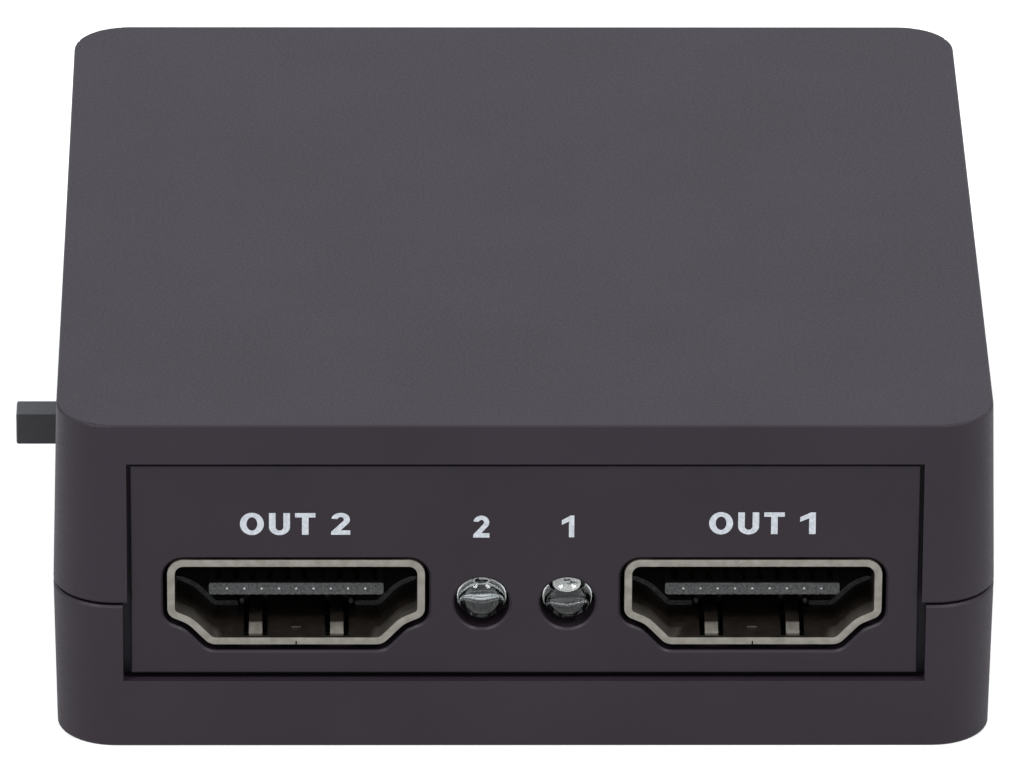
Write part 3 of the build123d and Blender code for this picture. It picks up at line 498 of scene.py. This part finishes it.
def leadFrame(lampName, tip):
    shape = bmesh.new()
    sheet = lamp["sheet"] * mm
    for key in ("anvil", "post"):
        addPlate(shape, [(x * mm, y * mm) for x, y in lamp[key]], tip, sheet)
    start, bend = lamp["wireStart"] * mm, lamp["bend"] * mm
    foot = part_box("circuit_board")[1].z - tip.z - lamp["legEnd"] * mm
    middle = tip + Vector((0, 0, (foot - sheet / 2) / 2))
    for side in (-1, 1):  # each wire runs back, and its leg goes down through the board
        left, right = sorted((side * lamp["wireIn"] * mm, side * lamp["wireOut"] * mm))
        addPlate(shape, rectangle(left, right, start, bend + sheet), tip, sheet)
        addPlate(shape, rectangle(left, right, bend, bend + sheet), middle, -sheet / 2 - foot)
    kind = lampKinds[lampName]
    addTurned(shape, [(along * mm, radius * mm) for along, radius in kind["cup"]], tip,
              lamp["cupSteps"], kind["oval"])
    half, front, back = (size * mm for size in kind["die"])
    addPlate(shape, rectangle(-half, half, front, back), tip, 2 * half)
    postMiddle = (lamp["post"][2][0] + lamp["post"][3][0]) / 2 * mm
    reach = lamp["post"][2][1] * mm
    wire = []
    for step in range(lamp["bondSteps"] + 1):
        share = step / lamp["bondSteps"]
        hump = math.sin(math.pi * share) * lamp["bondRise"] * mm
        wire.append(tip + Vector((share * postMiddle, front + share * (reach - front) - hump, 0)))
    addTube(shape, wire, lamp["bondRadius"] * mm)
    name = lampName + "_leadFrame"
    piece = newPiece(name, finishMesh(shape, name, "stamped"), "lead_metal")
    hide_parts(lampName + "_leads")


# A painted reflection: a white ring in the lens by its flange, in place of the line it reflects inside
def paintedReflectionRing(lampName, tip):
    along, radius, thickness = (size * mm for size in lampKinds[lampName]["rim"])
    angles = [2 * math.pi * step / lamp["rimSteps"] for step in range(lamp["rimSteps"] + 1)]
    shape = bmesh.new()
    addTurned(shape, [(along + thickness * math.cos(angle), radius + thickness * math.sin(angle))
                      for angle in angles], tip)
    bmesh.ops.remove_doubles(shape, verts=shape.verts, dist=mergeDistance)
    newPiece(lampName + "_paintedReflectionRing", finishMesh(shape, lampName + "_paintedReflectionRing"), "paintedReflection")


for lampName in lampKinds:
    tip = lampLens(lampName)
    leadFrame(lampName, tip)
    paintedReflectionRing(lampName, tip)
print("lamps: lenses cast over their lead frames")


# Printed marks: bold strokes, a hair thicker than the panel's skin. A glyph's outlines are in shares of
# the cap height, and a second outline is a hole.

def ovalPoints(x, y, wide, high, start=0, end=360, steps=28):
    angles = [math.radians(start + (end - start) * step / steps) for step in range(steps + 1)]
    return [(x + wide * math.cos(angle), y + high * math.sin(angle)) for angle in angles]


glyphs = {
    "O": {"width": 0.80, "outlines": [ovalPoints(0.40, 0.5, 0.40, 0.515),
                                      ovalPoints(0.40, 0.5, 0.18, 0.31)]},
    "U": {"width": 0.70, "outlines": [[(0, 1)] + ovalPoints(0.35, 0.36, 0.35, 0.375, 180, 360)
                                      + [(0.70, 1), (0.48, 1)]
                                      + ovalPoints(0.35, 0.36, 0.13, 0.165, 360, 180) + [(0.22, 1)]]},
    "T": {"width": 0.68, "outlines": [[(0.23, 0), (0.45, 0), (0.45, 0.8), (0.68, 0.8), (0.68, 1), (0, 1),
                                       (0, 0.8), (0.23, 0.8)]]},
    "I": {"width": 0.22, "outlines": [[(0, 0), (0.22, 0), (0.22, 1), (0, 1)]]},
    "N": {"width": 0.72, "outlines": [[(0, 0), (0.22, 0), (0.22, 0.62), (0.5, 0), (0.72, 0), (0.72, 1),
                                       (0.5, 1), (0.5, 0.38), (0.22, 1), (0, 1)]]},
    "V": {"width": 0.74, "outlines": [[(0.25, 0), (0.49, 0), (0.74, 1), (0.5, 1), (0.37, 0.36),
                                       (0.24, 1), (0, 1)]]},
    "1": {"width": 0.52, "outlines": [[(0.3, 0), (0.52, 0), (0.52, 1), (0.36, 1), (0, 0.78), (0, 0.57),
                                       (0.3, 0.73)]]},
    "2": {"width": 0.64, "outlines": [ovalPoints(0.32, 0.7, 0.31, 0.31, 172, -38)
                                      + [(0.32, 0.2), (0.64, 0.2), (0.64, 0), (0, 0), (0, 0.13)]
                                      + ovalPoints(0.32, 0.7, 0.105, 0.12, -32, 168)]},
    "5": {"width": 0.64, "outlines": [[(0.1, 1), (0.6, 1), (0.6, 0.8), (0.27, 0.8), (0.255, 0.655)]
                                      + ovalPoints(0.31, 0.33, 0.32, 0.335, 95, -162)
                                      + ovalPoints(0.31, 0.33, 0.11, 0.145, -162, 112)
                                      + [(0.04, 0.45)]]},
    " ": {"width": 0.18, "outlines": []},
}

# The print's sizes and the middle of each mark are in millimetres, and stretch widens its letters
printing = {"capHeight": 1.38, "gap": 0.17, "thickness": 0.02}
marks = {
    "out2Mark": {"text": "OUT 2", "middle": (-13.24, 14.2), "side": "front", "stretch": 1.25},
    "out1Mark": {"text": "OUT 1", "middle": (13.66, 14.24), "side": "front", "stretch": 1.25},
    "lamp2Mark": {"text": "2", "middle": (-2.52, 14.02), "side": "front", "stretch": 1.06},
    "lamp1Mark": {"text": "1", "middle": (2.47, 14.04), "side": "front", "stretch": 1.0},
    "inMark": {"text": "IN", "middle": (9.75, 14.2), "side": "rear", "stretch": 1.1},
    "powerMark": {"text": "5V", "middle": (-12.0, 14.2), "side": "rear", "stretch": 1.1},
}


def printMark(name, mark):
    curve = bpy.data.curves.new(name, "CURVE")
    curve.dimensions = "2D"
    curve.fill_mode = "BOTH"
    curve.extrude = 0.5  # each way, so the letters are one unit thick until they are sized
    start = 0
    for letter in mark["text"]:
        glyph = glyphs[letter]
        for outline in glyph["outlines"]:
            spline = curve.splines.new("POLY")
            spline.points.add(len(outline) - 1)
            for point, (x, y) in zip(spline.points, outline):
                point.co = (start + x, y, 0, 1)
            spline.use_cyclic_u = True
        start += glyph["width"] + printing["gap"]
    mesh = plainMesh(sketch(name, curve), name)
    size = printing["capHeight"] * mm
    wide = size * mark["stretch"]
    middle = ((start - printing["gap"]) / 2, 0.5)
    mesh.transform(Matrix.Translation((-middle[0], -middle[1], 0)))
    mesh.transform(Matrix.Diagonal((wide, size, printing["thickness"] * mm, 1)))
    mesh.transform(Matrix.Rotation(math.pi / 2, 4, "X"))
    if mark["side"] == "rear":
        mesh.transform(Matrix.Rotation(math.pi, 4, "Z"))
    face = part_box("front_panel")[0].y if mark["side"] == "front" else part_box("rear_panel")[1].y
    x, z = mark["middle"]
    mesh.transform(Matrix.Translation((x * mm, face, z * mm)))
    shape = bmesh.new()
    shape.from_mesh(mesh)
    bmesh.ops.remove_doubles(shape, verts=shape.verts, dist=mergeDistance)
    newPiece(name, finishMesh(shape, name, "stamped"), "ink")


for markName, mark in marks.items():
    printMark(markName, mark)
print("marks: %d printed" % len(marks))


# Floor, light and camera. Places and sizes are in metres and powers in watts. The floor glows by "lift"
# in the picture and by "gleam" in reflections. The air lights things by "ambient", and shows by
# "mirroredAir" in the picture and in reflections.

studio = {
    "floor": "#F0F0F0", "floorSize": 6.0, "floorRough": 0.9, "floorSpecular": 0.1,
    "lift": 0.54, "gleam": 0.20, "air": "#F4FBFF", "ambient": 0.30, "mirroredAir": 1.14,
    "softboxes": {
        "leftKey": {"place": (-0.51, -0.48, 0.85), "size": 0.34, "power": 4.7, "colour": "#FFFFFF"},
        "rightKey": {"place": (0.51, -0.48, 0.85), "size": 0.34, "power": 4.7, "colour": "#FFFFFF"},
        "overhead": {"place": (0.0, 0.15, 1.0), "size": 1.2, "power": 1.4, "colour": "#E8F6FF"},
        "leftSide": {"place": (-1.1, -0.35, 0.35), "size": 0.7, "power": 1.0, "colour": "#F4FAFF"},
        "rightSide": {"place": (1.1, -0.35, 0.35), "size": 0.7, "power": 0.8, "colour": "#F4FAFF"},
    },
}


def seenDirectly(tree, mirrored=1.0):
    # One where the camera sees this itself, and the given share in a reflection or through glass
    path = addNode(tree, "ShaderNodeLightPath").outputs
    bounced = addNode(tree, "ShaderNodeMath", operation="MAXIMUM",
                      links={0: path["Is Glossy Ray"], 1: path["Is Transmission Ray"]})
    dimmed = addNode(tree, "ShaderNodeMath", {1: mirrored}, {0: bounced.outputs[0]},
                     operation="MULTIPLY")
    seen = addNode(tree, "ShaderNodeMath", links={0: path["Is Camera Ray"], 1: dimmed.outputs[0]},
                   operation="MAXIMUM")
    return seen.outputs[0]


def makeFloor():
    half = studio["floorSize"] / 2
    mesh = bpy.data.meshes.new("floor")
    mesh.from_pydata([(-half, -half, 0), (half, -half, 0), (half, half, 0), (-half, half, 0)], [],
                     [(0, 1, 2, 3)])
    floor = sketch("floor", mesh)
    material, tree = newMaterial("paperSweep")
    seen = seenDirectly(tree, studio["gleam"] / studio["lift"])
    glow = addNode(tree, "ShaderNodeMath", {1: studio["lift"]}, {0: seen}, operation="MULTIPLY")
    shader = addNode(tree, "ShaderNodeBsdfPrincipled",
                     {"Base Color": linear(studio["floor"]), "Roughness": studio["floorRough"],
                      "Specular IOR Level": studio["floorSpecular"], "Emission Color": (1, 1, 1, 1)},
                     {"Emission Strength": glow.outputs[0]})
    addNode(tree, "ShaderNodeOutputMaterial", links={"Surface": shader.outputs[0]})
    mesh.materials.append(material)


def makeWorld():
    world = bpy.data.worlds.new("studioAir")
    world.use_nodes = True
    bpy.context.scene.world = world
    tree = world.node_tree
    tree.nodes.clear()
    strength = addNode(tree, "ShaderNodeMapRange",
                       {"To Min": studio["ambient"], "To Max": studio["mirroredAir"]},
                       {"Value": seenDirectly(tree)})
    air = addNode(tree, "ShaderNodeBackground", {"Color": linear(studio["air"])},
                  {"Strength": strength.outputs[0]})
    addNode(tree, "ShaderNodeOutputWorld", links={"Surface": air.outputs[0]})


def makeSoftbox(name, box):
    light = bpy.data.lights.new(name, "AREA")
    light.size = box["size"]
    light.energy = box["power"]
    light.color = linear(box["colour"])[:3]
    softbox = sketch(name, light)
    softbox.location = box["place"]
    softbox.rotation_euler = (-Vector(box["place"])).to_track_quat("-Z", "Y").to_euler()


# A long lens that looks down at the front, almost square to it, with its target in the middle of the
# picture. Distances are in metres, angles in degrees, and the lens and the target in millimetres.
view = {"distance": 0.6858, "elevation": 25.014, "yaw": 0.869, "roll": 0.368, "lens": 421.45,
        "clipStart": 0.01, "target": (-0.814, -29.2, 23.046)}


def makeCamera():
    tilt, yaw, roll = (math.radians(view[key]) for key in ("elevation", "yaw", "roll"))
    ahead = Vector((math.sin(yaw) * math.cos(tilt), math.cos(yaw) * math.cos(tilt), -math.sin(tilt)))
    level = Vector((math.cos(yaw), -math.sin(yaw), 0))
    upright = level.cross(ahead)
    right = level * math.cos(roll) + upright * math.sin(roll)
    up = upright * math.cos(roll) - level * math.sin(roll)
    lens = bpy.data.cameras.new("camera")
    lens.lens = view["lens"]
    lens.clip_start = view["clipStart"]
    camera = sketch("camera", lens)
    turn = Matrix((right, up, -ahead)).transposed().to_4x4()
    eye = Vector(view["target"]) * mm - ahead * view["distance"]
    camera.matrix_world = Matrix.Translation(eye) @ turn
    bpy.context.scene.camera = camera


makeFloor()
makeWorld()
for boxName, box in studio["softboxes"].items():
    makeSoftbox(boxName, box)
makeCamera()
bpy.context.scene.view_settings.view_transform = "Standard"
print("studio: floor, %d softboxes and camera" % len(studio["softboxes"]))
